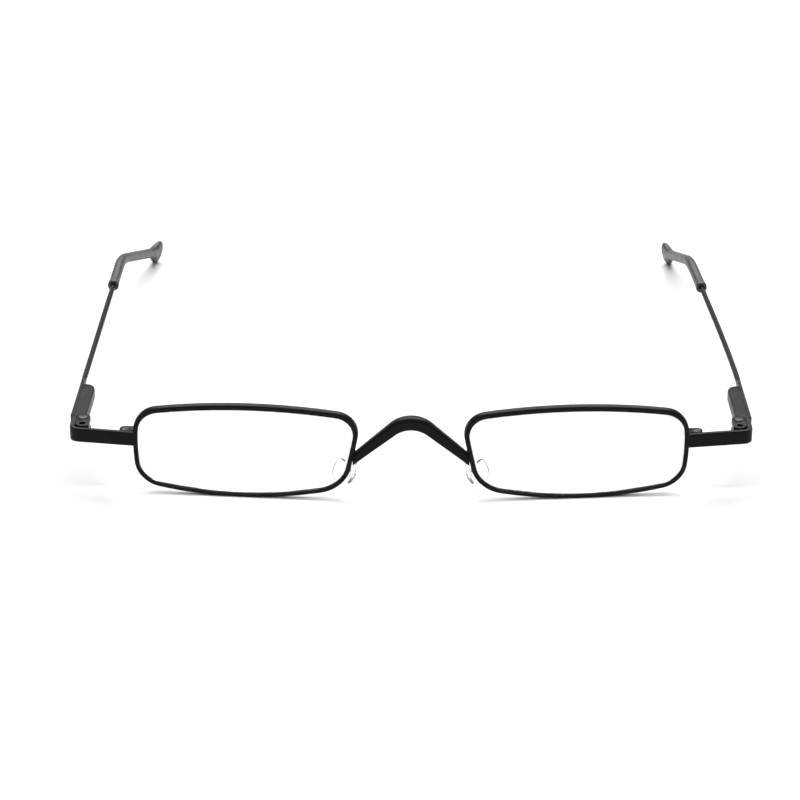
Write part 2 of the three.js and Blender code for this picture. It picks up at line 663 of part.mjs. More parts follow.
// A moulded sleeve over the wire's end, flaring to an upright paddle that rests on the table.
function templeTip(shape) {
  const count = 12;
  const route = templeRoute(shape);
  const { mouth, bend, core, total } = templeStops(route);
  const bore = section(WIRE_RADIUS + 0.1, WIRE_RADIUS + 0.1, 1, count);
  const inside = [mouth, bend, ...spread(bend, core + 0.4, 5)];
  const flareFrom = total - TIP_FLARE.length;
  const outside = [
    mouth, mouth + 0.35, mouth + 1.3, mouth + 2.6, bend,
    ...spread(bend, bend + 9, 4), ...spread(bend + 9, flareFrom, 2),
    ...spread(flareFrom, total - 0.9, 5), ...spread(total - 0.9, total, 3),
  ];
  const ring = (distance) => {
    const toEnd = total - distance;
    const lean = radians(TIP_LEAN) * (1 - THREE.MathUtils.smoothstep(toEnd, 0, 2 * TIP_FLARE.length));
    const [wide, high] = tipHalfSizes(distance - mouth, toEnd);
    const turned = section(wide, high, 0.9, count).map(([a, b]) =>
      [a * Math.cos(lean) - b * Math.sin(lean), a * Math.sin(lean) + b * Math.cos(lean)]);
    return onRoute(route, distance, turned);
  };
  return standOnTable(loft([
    ...inside.reverse().map((distance) => onRoute(route, distance, bore)),
    ...outside.map(ring),
  ]));
}

// ---------------------------------------------------------------- assembly

function frontHalf(side) {
  const group = new THREE.Group();
  group.add(
    named(`${side}_rim`, rim(), 'frame'),
    named(`${side}_lens`, lens(), 'lens'),
    named(`${side}_endpiece`, endpiece(), 'frame'),
    named(`${side}_lock_block_upper`, lockBlock(LOCK_HEIGHT + FIT, LOCK.top, true), 'frame'),
    named(`${side}_lock_block_lower`, lockBlock(LOCK.bottom, LOCK_HEIGHT - FIT, false), 'frame'),
    named(`${side}_lock_screw`, lockScrew(), 'screw'),
    named(`${side}_hinge_leaf`, hingeLeaf(), 'frame'),
    named(`${side}_hinge_screw`, hingeScrew(), 'screw'),
    named(`${side}_pad_arm`, padArm(), 'frame'),
    named(`${side}_pad_box`, padBox(), 'frame'),
    named(`${side}_pad_screw`, padScrew(), 'screw'),
    named(`${side}_nose_pad`, nosePad(), 'pad'),
    named(`${side}_pad_core`, padCore(), 'pad'),
  );
  return group;
}

function temple(side, shape) {
  const group = new THREE.Group();
  group.position.set(HINGE_X, HINGE_Y, 0);
  group.rotation.z = radians(shape.toeIn);
  group.add(
    named(`${side}_hinge_plunger`, hingePlunger(), 'steel'),
    named(`${side}_plunger_nut`, plungerNut(), 'steel'),
    named(`${side}_spring_bush`, springBush(), 'steel'),
    named(`${side}_hinge_spring`, hingeSpring(), 'steel'),
    named(`${side}_spring_housing`, springHousing(), 'frame'),
    named(`${side}_temple_arm`, templeArm(shape), 'frame'),
    named(`${side}_temple_tip`, templeTip(shape), 'tip'),
  );
  return group;
}

const glasses = new THREE.Group();
glasses.position.y = -DEPTH_MIDDLE;
glasses.add(named('bridge', bridge(), 'frame'));
for (const [side, shape] of Object.entries(SIDES)) {
  const half = new THREE.Group();
  half.scale.x = shape.sign;
  half.add(frontHalf(side), temple(side, shape));
  glasses.add(half);
}

export default glasses;
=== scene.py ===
import json
import math

import bmesh
import bpy
from mathutils import Matrix, Vector, noise


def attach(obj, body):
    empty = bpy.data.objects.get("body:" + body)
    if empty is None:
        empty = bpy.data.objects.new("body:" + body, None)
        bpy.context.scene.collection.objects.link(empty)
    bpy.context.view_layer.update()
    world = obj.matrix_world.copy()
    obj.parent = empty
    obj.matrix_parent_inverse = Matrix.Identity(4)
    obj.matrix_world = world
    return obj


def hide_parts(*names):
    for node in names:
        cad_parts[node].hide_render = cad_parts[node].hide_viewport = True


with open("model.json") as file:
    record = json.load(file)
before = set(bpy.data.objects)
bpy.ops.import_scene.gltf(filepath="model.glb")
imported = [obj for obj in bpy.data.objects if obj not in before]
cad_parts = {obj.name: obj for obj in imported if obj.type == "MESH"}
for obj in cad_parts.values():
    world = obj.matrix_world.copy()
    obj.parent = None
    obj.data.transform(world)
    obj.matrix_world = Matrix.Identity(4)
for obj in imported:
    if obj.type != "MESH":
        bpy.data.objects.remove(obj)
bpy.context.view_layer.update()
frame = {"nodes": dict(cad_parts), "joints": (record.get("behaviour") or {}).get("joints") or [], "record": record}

# Folding reading glasses: the finished surfaces of every piece that shows, and a studio for them.
# Shapes are worked out in millimetres on the right half of the glasses: x outwards from the middle
# of the bridge, y back from the front, z up. piece() puts them on their side of the row frame.

# ---------------------------------------------------------------- places from the frame

MM = 0.001
SIDES = {"left": -1, "right": 1}
JOINTS = {joint["name"]: joint for joint in frame["joints"]}
BODY_OF = {
    node: body
    for body, nodes in frame["record"]["behaviour"]["bodies"].items()
    for node in nodes
}
HINGE_BACK = 8.0  # the hinge axis, behind the front
HINGE = Vector(JOINTS["right_temple_fold"]["pos_m"]) / MM
FRONT_Y = HINGE.y - HINGE_BACK
HINGE_X, HINGE_Z = HINGE.x, HINGE.z

# ---------------------------------------------------------------- dimensions, in millimetres

# The lens opening's sides: reach and facing place each from the lens centre, bow is its radius,
# and corner the radius of the corner after it. Temple side, top, nose side, bottom.
LENS_SIDES = (
    {"reach": 21.1, "facing": 1.9, "bow": 50, "corner": 5.0},
    {"reach": 9.25, "facing": 89.4, "bow": 88, "corner": 4.05},
    {"reach": 20.15, "facing": 193.2, "bow": 205, "corner": 6.2},
    {"reach": 9.8, "facing": 269.3, "bow": 110, "corner": 4.5},
)
LENS_CENTRE_Z = 10.3
DOME_RADIUS = 145
DOME_OFFSET = 0.33
LENS_BACK_RADIUS = 200
LENS_THICK = 1.25
LENS_PLACE = (
    Matrix.Translation((32.53, 0, 0.36))
    @ Matrix.Rotation(math.radians(4.5), 4, "Z")
    @ Matrix.Rotation(math.radians(8), 4, "X")
)
RIM_WIDTH, RIM_DEPTH = 0.98, 1.45
RIM_OUTER_ROUND, RIM_INNER_ROUND = 0.3, 0.09
GROOVE_HALF = 0.3
LENS_FRONT = 0.16  # how far the lens's front face sits behind the rim's
LENS_BEVEL = 0.42  # width of the ground bevel round it
LENS_RINGS = 15  # over each face
V_CLEARANCE = 0.03  # between the lens's V edge and the groove
LOCK_HEIGHT, LOCK_GAP = 11.5, 0.2

BAR = {"inner": 54.62, "overlap": 0.9, "front": 1.5, "thick": 1.0, "high": 2.85, "leg": 66.6, "leg_end": 9.05}
BAR_SWEEP = math.radians(5)
BAR_BEND = 1.6
BAR_LOW, BAR_HIGH = 11.65, 12.1  # its middle's height at the rim and at the corner
LOCK = {"x": 56.2, "y": 4.25, "inner": 53.75, "round": 1.1, "top": 12.95, "bottom": 9.95}
LOCK_HOLE, LOCK_COUNTERBORE, LOCK_SUNK = 0.5, 0.85, 0.5  # hole and counterbore radius, and its depth
PAINTED_GAP = 0.05  # between each lock block and the plane where they meet

KNUCKLE_RADIUS = 1.45
KNUCKLE_TOP, KNUCKLE_BOTTOM = 13.65, 10.85
LEAF_FRONT = 3.7
EYE_RADIUS, EYE_HIGH, EYE_SLOT = 1.1, 0.98, 1.1
HINGE_PIN = 0.6
HEAD_RECESS = {"radius": 0.98, "deep": 0.38}
LEAF_POCKET = {"radius": 0.62, "deep": 0.45, "back": 1.35}  # back from the leaf's front
LEAF_OUTER_CHAMFER, LEAF_INNER_CHAMFER = 0.95, 0.5
PLUNGER = {"x": 0.6, "radius": 0.38, "end": 8.6}
BORE_RADIUS, BORE_END = 0.75, 10.2
HOUSING = {"inner": -0.5, "outer": 2.3, "front": 1.5, "back": 18.3, "high": 2.5}  # partly in the strip
STRIP = {"inner": 2.0, "outer": 2.7, "front": 1.5, "end": 18.5, "wire_from": 23.0, "high": 2.5}
WIRE_RADIUS, WIRE_X = 0.55, 2.55
WIRE_STRAIGHT = 0.25  # share of the wire that runs straight back before it bows inwards

SLEEVE_START = 76.6
BEND_AT, BEND_REACH = 94.0, 4.5
TIP_END, TIP_END_Z = 126.2, 2.2
WIRE_BOW = {"left": 0, "right": 2.7}
TIP_INSET = {"left": 4.95, "right": 1.94}
TIP_RADIUS = 1.1
TIP_FLARE = {"length": 9, "high": 1.6}
TIP_LEAN = math.radians(14)
CORE_SHARE = 0.55  # how far along the tip its metal core reaches

CROWN = {"z": 16.5, "y": -1.0, "radius": 5.6, "high": 2.65, "deep": 2.4, "round": 0.62}
FOOT = {"x": 10.92, "overlap": 0.5, "high": 1.8, "deep": 1.7, "round": 0.5}
BEND_SHARE = 0.3  # how far the bridge's section has changed where its arms begin
BRIDGE_ARM = math.radians(39.6)

PAD_PLACE = (
    Matrix.Translation((12.8, 5.5, 4.05))
    @ Matrix.Rotation(math.radians(45), 4, "Z")
    @ Matrix.Rotation(math.radians(-10), 4, "Y")
    @ Matrix.Rotation(math.radians(-25), 4, "X")
)
PAD_WIDE, PAD_HIGH, PAD_THICK = 5.6, 7.4, 1.6
PAD_ARM_RADIUS = 0.34
PAD_PIN_HOLE = 0.28

LOCK_SCREW = {"shaft": 0.45, "head": 0.78, "head_high": 0.4, "length": 3.3}
HINGE_SCREW = {"shaft": HINGE_PIN, "head": 0.9, "head_high": 0.42, "length": 2.85}
PAD_SCREW = {"shaft": 0.21, "head": 0.38, "head_high": 0.2, "length": 1.75, "pitch": 0.18}
CAMERA_ELEVATION, CAMERA_ROLL = 23, 0.2  # degrees
LUG_X, LUG_Y = -1.1, -1.45  # the pad's pivot, in the pad's own frame

# ---------------------------------------------------------------- shape helpers


def mix(a, b, share):
    return a + (b - a) * share


def smooth(share):
    """0 to 1 with a soft start and end."""
    t = min(max(share, 0), 1)
    return t * t * (3 - 2 * t)


def arc(x, y, radius, start, end, steps):
    """Points of an arc about (x, y), with its angles in degrees."""
    angles = [math.radians(mix(start, end, k / steps)) for k in range(steps + 1)]
    return [(x + radius * math.cos(a), y + radius * math.sin(a)) for a in angles]


def box_section(half_wide, half_high, radius, steps):
    """A rectangle with round corners, anticlockwise."""
    x, y = half_wide - radius, half_high - radius
    corners = ((x, y), (-x, y), (-x, -y), (x, -y))
    return [p for k, (a, b) in enumerate(corners) for p in arc(a, b, radius, 90 * k, 90 * k + 90, steps)]


def soft_section(half_wide, half_high, squareness, count):
    """A section between an ellipse, at squareness 1, and a rectangle, near 0."""
    points = []
    for k in range(count):
        angle = 2 * math.pi * (k + 0.5) / count
        c, s = math.cos(angle), math.sin(angle)
        x = math.copysign(abs(c) ** squareness, c)
        y = math.copysign(abs(s) ** squareness, s)
        points.append((half_wide * x, half_high * y))
    return points


def ring_of(radius, count):
    return [(radius * math.cos(a), radius * math.sin(a)) for a in turns(count)]


def turns(count):
    return [2 * math.pi * k / count for k in range(count)]


def skin(rings, closed=False, tips=(None, None)):
    """A surface through rings of equally many points, with its ends shut unless it is closed on itself.
    A tip is the point at which that end comes together; without one the end is flat."""
    count = len(rings[0])
    points = [Vector(p) for ring in rings for p in ring]
    faces = []
    for r in range(len(rings) if closed else len(rings) - 1):
        a, b = r * count, (r + 1) % len(rings) * count
        for k in range(count):
            n = (k + 1) % count
            faces.append((a + k, a + n, b + n, b + k))
    if closed:
        return points, faces
    for start, tip in zip((0, len(points) - count), tips):
        if tip is None:
            faces.append(tuple(range(start, start + count)))
            continue
        points.append(Vector(tip))
        faces += [(start + k, start + (k + 1) % count, len(points) - 1) for k in range(count)]
    return points, faces


def together(*shapes):
    """Several shapes as one."""
    points, faces = [], []
    for some_points, some_faces in shapes:
        faces += [tuple(k + len(points) for k in face) for face in some_faces]
        points = points + list(some_points)
    return points, faces


def moved(shape, matrix):
    points, faces = shape
    return [matrix @ p for p in points], faces


def across_path(point, tangent, outline):
    """A section set square across a path at a point, kept upright."""
    side = tangent.cross(Vector((0, 0, 1))).normalized()
    up = side.cross(tangent).normalized()
    return [point + side * a + up * b for a, b in outline]


def plate(outline, low, high):
    """An outline in X and Y, filled from one height to another."""
    return skin([[Vector((x, y, z)) for x, y in outline] for z in (low, high)])


def block(xs, ys, zs):
    (x0, x1), (y0, y1) = xs, ys
    return plate([(x0, y0), (x1, y0), (x1, y1), (x0, y1)], *zs)


def post(radius, x, y, low, high, count=40):
    """A round bar along Z."""
    return plate([(x + a, y + b) for a, b in ring_of(radius, count)], low, high)


def rod(radius, x, z, start, end, count):
    """A round bar along Y."""
    return skin([[Vector((x + a, y, z + b)) for a, b in ring_of(radius, count)] for y in (start, end)])


def cross_bar(radius, start, end, y):
    """A round bar along X, at height 0."""
    return skin([[Vector((x, y + a, b)) for a, b in ring_of(radius, 24)] for x in (start, end)])


def scratch(shape):
    """A throwaway object of a shape, with its faces pointing out."""
    mesh = bpy.data.meshes.new("scratch")
    mesh.from_pydata(shape[0], [], shape[1])
    bm = bmesh.new()
    bm.from_mesh(mesh)
    bmesh.ops.recalc_face_normals(bm, faces=bm.faces)
    bm.to_mesh(mesh)
    bm.free()
    obj = bpy.data.objects.new("scratch", mesh)
    bpy.context.scene.collection.objects.link(obj)
    return obj


def carved(shape, tools=(), additions=()):
    """The shape joined to the additions, with the tools' volumes cut away."""
    subject = scratch(shape)
    others = []
    for operation, shapes in (("UNION", additions), ("DIFFERENCE", tools)):
        for other in shapes:
            modifier = subject.modifiers.new(operation, "BOOLEAN")
            modifier.operation = operation
            modifier.solver = "EXACT"
            modifier.object = scratch(other)
            others.append(modifier.object)
    result = subject.evaluated_get(bpy.context.evaluated_depsgraph_get()).data
    points = [v.co.copy() for v in result.vertices]
    faces = [tuple(face.vertices) for face in result.polygons]
    for obj in (subject, *others):
        bpy.data.objects.remove(obj)
    return points, faces


def standing(shape):
    """The shape with anything below the table pressed flat on it."""
    points, faces = shape
    return [Vector((p.x, p.y, max(p.z, 0))) for p in points], faces


# ---------------------------------------------------------------- making pieces


def piece(name, shape, finish, body, side="right", soften=0.0, crease=38):
    """A finished piece that rides on a body. soften is the radius given to its sharp edges, and crease
    the angle in degrees from which an edge counts as sharp."""
    points, faces = shape
    mesh = bpy.data.meshes.new(name)
    mesh.from_pydata(points, [], faces)
    bm = bmesh.new()
    bm.from_mesh(mesh)
    bmesh.ops.remove_doubles(bm, verts=bm.verts, dist=1e-4)
    bmesh.ops.recalc_face_normals(bm, faces=bm.faces)
    if soften:
        sharp = [e for e in bm.edges if e.is_manifold and e.calc_face_angle() > math.radians(crease)]
        bmesh.ops.bevel(
            bm, geom=sharp, offset=soften, segments=2, profile=0.5, affect="EDGES", clamp_overlap=True
        )
    for v in bm.verts:
        v.co = Vector((SIDES[side] * v.co.x, v.co.y + FRONT_Y, v.co.z)) * MM
    if SIDES[side] < 0:  # mirroring has turned the faces inside out
        for face in bm.faces:
            face.normal_flip()
    bm.to_mesh(mesh)
    bm.free()
    mesh.shade_smooth()
    mesh.set_sharp_from_angle(angle=math.radians(crease))
    obj = bpy.data.objects.new(name, mesh)
    bpy.context.scene.collection.objects.link(obj)
    material, slot = FINISHES[finish]
    obj.data.materials.append(material)
    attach(obj, body)
    return obj


def finished(node, shape, finish, side="right", **options):
    """The finished form of a CAD node, which it replaces."""
    obj = piece(f"{node}_fine", shape, finish, BODY_OF[node], side, **options)
    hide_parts(node)
    return obj


# ---------------------------------------------------------------- materials


def new_material(name):
    material = bpy.data.materials.new(name)
    material.use_nodes = True
    return material, material.node_tree, material.node_tree.nodes["Principled BSDF"]


def add_node(tree, kind, settings=(), **sockets):
    """A node with its settings, and with its sockets set to values or linked to other nodes' outputs."""
    made = tree.nodes.new(f"ShaderNode{kind}")
    for key, value in dict(settings).items():
        setattr(made, key, value)
    for key, value in sockets.items():
        socket = made.inputs[key.replace("_", " ")]
        if isinstance(value, bpy.types.NodeSocket):
            tree.links.new(value, socket)
        else:
            socket.default_value = value
    return made


def surface_noise(tree, scale, detail=3, roughness=0.5):
    """Noise fixed to the piece, in cycles per metre."""
    place = add_node(tree, "TexCoord").outputs["Object"]
    grain = add_node(tree, "TexNoise", Vector=place, Scale=scale, Detail=detail, Roughness=roughness)
    return grain.outputs["Fac"]


def ramp(tree, value, low, high, start, end):
    """value's range from low to high, spread from start to end."""
    spread = add_node(tree, "MapRange", Value=value)
    for key, number in (("From Min", low), ("From Max", high), ("To Min", start), ("To Max", end)):
        spread.inputs[key].default_value = number
    return spread.outputs["Result"]


def blend_colour(tree, share, first, second):
    """Between two colours, either of which may be another node's output."""
    made = add_node(tree, "MixRGB", Fac=share)
    for socket, value in zip(made.inputs[1:], (first, second)):
        if isinstance(value, bpy.types.NodeSocket):
            tree.links.new(value, socket)
        else:
            socket.default_value = (*value, 1)
    return made.outputs["Color"]


def bump(tree, height, strength, distance):
    return add_node(tree, "Bump", Height=height, Strength=strength, Distance=distance).outputs["Normal"]


def frame_paint():
    """Semi-gloss black lacquer: a faint orange peel, slightly uneven gloss, and paler on worn edges."""
    material, tree, shader = new_material("frame_paint")
    blotch = surface_noise(tree, 420, 4)
    colour = blend_colour(tree, blotch, (0.0055, 0.0060, 0.0075), (0.0095, 0.0100, 0.0115))
    edge = add_node(tree, "NewGeometry").outputs["Pointiness"]
    worn = add_node(tree, "Math", {"operation": "MULTIPLY"})
    tree.links.new(ramp(tree, edge, 0.53, 0.6, 0, 0.55), worn.inputs[0])
    tree.links.new(ramp(tree, surface_noise(tree, 900, 5), 0.45, 0.7, 0, 1), worn.inputs[1])
    colour = blend_colour(tree, worn.outputs[0], colour, (0.06, 0.058, 0.055))
    tree.links.new(colour, shader.inputs["Base Color"])
    tree.links.new(ramp(tree, surface_noise(tree, 650, 3), 0.3, 0.7, 0.3, 0.42), shader.inputs["Roughness"])
    peel = bump(tree, surface_noise(tree, 1900, 2), 0.22, 0.00004)
    tree.links.new(peel, shader.inputs["Normal"])
    shader.inputs["Specular IOR Level"].default_value = 0.075
    return material


def screw_steel():
    """Blackened steel, with turning marks and bright wear."""
    material, tree, shader = new_material("screw_steel")
    scuffs = surface_noise(tree, 2600, 5, 0.7)
    bright = ramp(tree, scuffs, 0.5, 0.72, 0, 1)
    colour = blend_colour(tree, bright, (0.035, 0.035, 0.038), (0.16, 0.155, 0.15))
    tree.links.new(colour, shader.inputs["Base Color"])
    tree.links.new(ramp(tree, scuffs, 0.3, 0.7, 0.28, 0.5), shader.inputs["Roughness"])
    tree.links.new(bump(tree, scuffs, 0.25, 0.00002), shader.inputs["Normal"])
    shader.inputs["Metallic"].default_value = 0.85
    return material


def spring_steel():
    """Drawn steel, bright, with fine lines along it."""
    material, tree, shader = new_material("spring_steel")
    place = add_node(tree, "TexCoord").outputs["Object"]
    drawn = add_node(tree, "Mapping", Vector=place)
    drawn.inputs["Scale"].default_value = (6000, 500, 6000)
    lines = add_node(tree, "TexNoise", Vector=drawn.outputs[0], Scale=1.0, Detail=4).outputs["Fac"]
    colour = blend_colour(tree, lines, (0.42, 0.42, 0.43), (0.62, 0.61, 0.6))
    tree.links.new(colour, shader.inputs["Base Color"])
    tree.links.new(ramp(tree, lines, 0.3, 0.7, 0.2, 0.36), shader.inputs["Roughness"])
    tree.links.new(bump(tree, lines, 0.15, 0.00001), shader.inputs["Normal"])
    shader.inputs["Metallic"].default_value = 1
    return material


def let_lamps_through(tree, shader, tint):
    """Lets light from the lamps through a clear material, so that it casts no dark shadow."""
    path = add_node(tree, "LightPath").outputs["Is Shadow Ray"]
    open_way = add_node(tree, "BsdfTransparent", Color=(*tint, 1)).outputs[0]
    mixed = add_node(tree, "MixShader", Fac=path)
    tree.links.new(shader.outputs[0], mixed.inputs[1])
    tree.links.new(open_way, mixed.inputs[2])
    tree.links.new(mixed.outputs[0], tree.nodes["Material Output"].inputs["Surface"])


def lens_clear():
    """Polished clear lens, with faint smears in its gloss."""
    material, tree, shader = new_material("lens_clear")
    smears = ramp(tree, surface_noise(tree, 160, 6, 0.65), 0.52, 0.75, 0.0, 0.035)
    tree.links.new(smears, shader.inputs["Roughness"])
    shader.inputs["Base Color"].default_value = (0.99, 1.0, 1.0, 1)
    shader.inputs["Transmission Weight"].default_value = 1
    shader.inputs["IOR"].default_value = 1.49
    let_lamps_through(tree, shader, (0.97, 0.98, 0.98))
    return material


def lens_ground():
    """The lens's ground bevel: frosted, with the grinding wheel's fine grain."""
    material, tree, shader = new_material("lens_ground")
    grain = surface_noise(tree, 5200, 3)
    tree.links.new(ramp(tree, grain, 0.3, 0.7, 0.35, 0.6), shader.inputs["Roughness"])
    tree.links.new(bump(tree, grain, 0.3, 0.00001), shader.inputs["Normal"])
    shader.inputs["Base Color"].default_value = (0.93, 0.94, 0.94, 1)
    shader.inputs["Transmission Weight"].default_value = 0.8
    shader.inputs["IOR"].default_value = 1.49
    let_lamps_through(tree, shader, (0.8, 0.82, 0.82))
    return material


def pad_clear():
    """Clear moulded silicone, faintly green and cloudy, with a soft skin."""
    material, tree, shader = new_material("pad_clear")
    cloud = surface_noise(tree, 700, 3)
    colour = blend_colour(tree, cloud, (0.90, 0.93, 0.915), (0.97, 0.985, 0.98))
    tree.links.new(colour, shader.inputs["Base Color"])
    tree.links.new(ramp(tree, cloud, 0.3, 0.7, 0.04, 0.12), shader.inputs["Roughness"])
    tree.links.new(bump(tree, surface_noise(tree, 1500, 2), 0.12, 0.00003), shader.inputs["Normal"])
    shader.inputs["Transmission Weight"].default_value = 1
    shader.inputs["IOR"].default_value = 1.41
    let_lamps_through(tree, shader, (0.9, 0.92, 0.91))
    return material


def tip_black():
    """Satin moulded black, softer and a little paler than the paint, with a fine even grain."""
    material, tree, shader = new_material("tip_black")
    cloud = surface_noise(tree, 350, 4)
    colour = blend_colour(tree, cloud, (0.020, 0.021, 0.023), (0.031, 0.032, 0.034))
    tree.links.new(colour, shader.inputs["Base Color"])
    tree.links.new(ramp(tree, surface_noise(tree, 800, 3), 0.3, 0.7, 0.36, 0.5), shader.inputs["Roughness"])
    tree.links.new(bump(tree, surface_noise(tree, 5200, 2), 0.2, 0.00002), shader.inputs["Normal"])
    shader.inputs["Specular IOR Level"].default_value = 0.5
    return material


FINISHES = {
    "paint": (frame_paint(), "frame_paint"),
    "screw": (screw_steel(), "screw_steel"),
    "steel": (spring_steel(), "spring_steel"),
    "lens": (lens_clear(), "lens_clear"),
    "ground": (lens_ground(), "lens_clear"),
    "pad": (pad_clear(), "pad_clear"),
    "tip": (tip_black(), "tip_black"),
}

# ---------------------------------------------------------------- rim and lens


def toward(angle):
    return Vector((math.cos(angle), math.sin(angle)))


def angle_to(start, end):
    return math.atan2(end.y - start.y, end.x - start.x)


def corner_centre(first, first_bow, second, second_bow, radius):
    """The middle of the corner arc that runs into two neighbouring sides."""
    gap = second - first
    reaches = (first_bow - radius, second_bow - radius)
    along = (reaches[0] ** 2 - reaches[1] ** 2 + gap.length_squared) / (2 * gap.length)
    sideways = math.sqrt(reaches[0] ** 2 - along**2)
    forward = gap.normalized()
    return first + forward * along + Vector((-forward.y, forward.x)) * sideways


def lens_arcs():
    """(middle, radius, start angle, sweep, steps) of each arc round the opening, from the rim's split."""
    middle = Vector((0, LENS_CENTRE_Z))
    bows = [side["bow"] for side in LENS_SIDES]
    centres = [middle + toward(math.radians(s["facing"])) * (s["reach"] - s["bow"]) for s in LENS_SIDES]
    corners = [
        corner_centre(centres[k], bows[k], centres[(k + 1) % 4], bows[(k + 1) % 4], LENS_SIDES[k]["corner"])
        for k in range(4)
    ]
    split = math.asin((LOCK_HEIGHT - 0.2 - centres[0].y) / bows[0])
    gap = LOCK_GAP / 2 / bows[0]
    arcs = []
    for k in range(4):
        start = split + gap if k == 0 else angle_to(centres[k], corners[k - 1])
        arcs.append((centres[k], bows[k], start, angle_to(centres[k], corners[k]), 26))
        turn_end = angle_to(centres[(k + 1) % 4], corners[k])
        arcs.append((corners[k], LENS_SIDES[k]["corner"], angle_to(centres[k], corners[k]), turn_end, 22))
    arcs.append((centres[0], bows[0], angle_to(centres[0], corners[3]), split - gap, 20))
    return [(c, r, start, (end - start) % (2 * math.pi), steps) for c, r, start, end, steps in arcs]


def lens_stations():
    """(point on the opening's edge, outward direction) all round, from the split to the split."""
    stations = []
    for centre, radius, start, sweep, steps in lens_arcs():
        for k in range(1 if stations else 0, steps + 1):
            outward = toward(start + sweep * k / steps)
            stations.append((centre + outward * radius, outward))
    return stations


STATIONS = lens_stations()


def dome_rise(u, v, radius):
    return (u * u + (v - LENS_CENTRE_Z) ** 2) / (2 * radius)


def on_dome(u, v, depth):
    """A point u across and v up the front's domed face, and depth behind it."""
    return LENS_PLACE @ Vector((u, dome_rise(u, v, DOME_RADIUS) - DOME_OFFSET + depth, v))


def near_lens(station, offset, depth):
    edge, outward = station
    point = edge + outward * offset
    return on_dome(point.x, point.y, depth)


def rim_section():
    """The rim's section as (out from the opening, back from the front face)."""
    far, back, middle = RIM_WIDTH - RIM_OUTER_ROUND, RIM_DEPTH - RIM_OUTER_ROUND, RIM_DEPTH / 2
    near = RIM_INNER_ROUND
    return [
        *arc(far, RIM_OUTER_ROUND, RIM_OUTER_ROUND, -90, 0, 7),
        *arc(far, back, RIM_OUTER_ROUND, 0, 90, 7),
        *arc(near, RIM_DEPTH - near, near, 90, 180, 3),
        (0, middle + GROOVE_HALF),
        (GROOVE_HALF, middle),
        (0, middle - GROOVE_HALF),
        *arc(near, near, near, 180, 270, 3),
    ]


def rim():
    section = rim_section()
    return standing(skin([[near_lens(station, r, d) for r, d in section] for station in STATIONS]))


def lens_ring(offset, share, depth):
    """A ring inside the lens's edge, drawn in towards its middle by a share."""
    ring = []
    for edge, outward in STATIONS:
        point = edge + outward * offset
        u, v = point.x * share, mix(LENS_CENTRE_Z, point.y, share)
        ring.append(on_dome(u, v, depth(u, v)))
    return ring


def lens_front(_u, _v):
    return LENS_FRONT


def lens_back(u, v):
    thinning = dome_rise(u, v, DOME_RADIUS) - dome_rise(u, v, LENS_BACK_RADIUS)
    return LENS_FRONT + LENS_THICK - thinning


def lens():
    """A plus lens: domed front, flatter back, a ground bevel in front and a V edge in the groove."""
    middle = RIM_DEPTH / 2
    v_half = GROOVE_HALF - V_CLEARANCE
    shares = [mix(0.04, 1, k / (LENS_RINGS - 1)) for k in range(LENS_RINGS)]
    rings = [lens_ring(-LENS_BEVEL, share, lens_front) for share in shares]
    for offset, depth in (
        (-LENS_BEVEL + 0.03, LENS_FRONT + 0.012),
        (-0.06, middle - v_half),
        (v_half - 0.05, middle),
        (-0.06, middle + v_half),
    ):
        rings.append([near_lens(station, offset, depth) for station in STATIONS])
    rings += [lens_ring(-0.14, share, lens_back) for share in reversed(shares)]
    tips = [on_dome(0, LENS_CENTRE_Z, depth(0, LENS_CENTRE_Z)) for depth in (lens_front, lens_back)]
    return skin(rings, tips=tips)


def ground_edge(obj):
    """Gives the narrow bevel round a lens's front the ground finish."""
    obj.data.materials.append(FINISHES["ground"][0])
    for face in obj.data.polygons:
        ring = min(face.vertices) // len(STATIONS)
        if ring == LENS_RINGS:
            face.material_index = 1


# ---------------------------------------------------------------- front


def bridge_ring(x, z, slope, share, upright):
    """The bridge's section at a point of its middle line. share goes from the crown to the foot, and
    upright turns the section from square across the bar to upright."""
    outline = box_section(
        mix(CROWN["deep"], FOOT["deep"], share) / 2,
        mix(CROWN["high"], FOOT["high"], share) / 2,
        mix(CROWN["round"], FOOT["round"], share),
        7,
    )
    up = Vector((-math.sin(slope), 0, math.cos(slope)))
    ring = []
    for a, b in outline:
        point = Vector((x, CROWN["y"] + a, z)) + up * b
        slide = (x - point.x) * upright
        ring.append(point + Vector((slide, 0, slide * math.tan(slope))))
    return ring


def bridge():
    """A crowned bar from rim to rim, deepest at its crown."""
    radius = CROWN["radius"]
    bend_x = radius * math.sin(BRIDGE_ARM)
    bend_z = CROWN["z"] - radius * (1 - math.cos(BRIDGE_ARM))
    rings = []
    for k in range(-24, 25):
        angle = BRIDGE_ARM * k / 24
        z = CROWN["z"] - radius * (1 - math.cos(angle))
        rings.append(bridge_ring(radius * math.sin(angle), z, -angle, BEND_SHARE * (k / 24) ** 2, 0))
    steps = 26
    for k in range(1, steps + 1):
        share = k / steps
        x = mix(bend_x, FOOT["x"] + FOOT["overlap"], share)
        z = bend_z - (x - bend_x) * math.tan(BRIDGE_ARM)
        upright = smooth((share - 0.6) / 0.4)
        slim = mix(BEND_SHARE, 1, share)
        rings.append(bridge_ring(x, z, -BRIDGE_ARM, slim, upright))
        rings.insert(0, bridge_ring(-x, z, BRIDGE_ARM, slim, upright))
    return skin(rings)


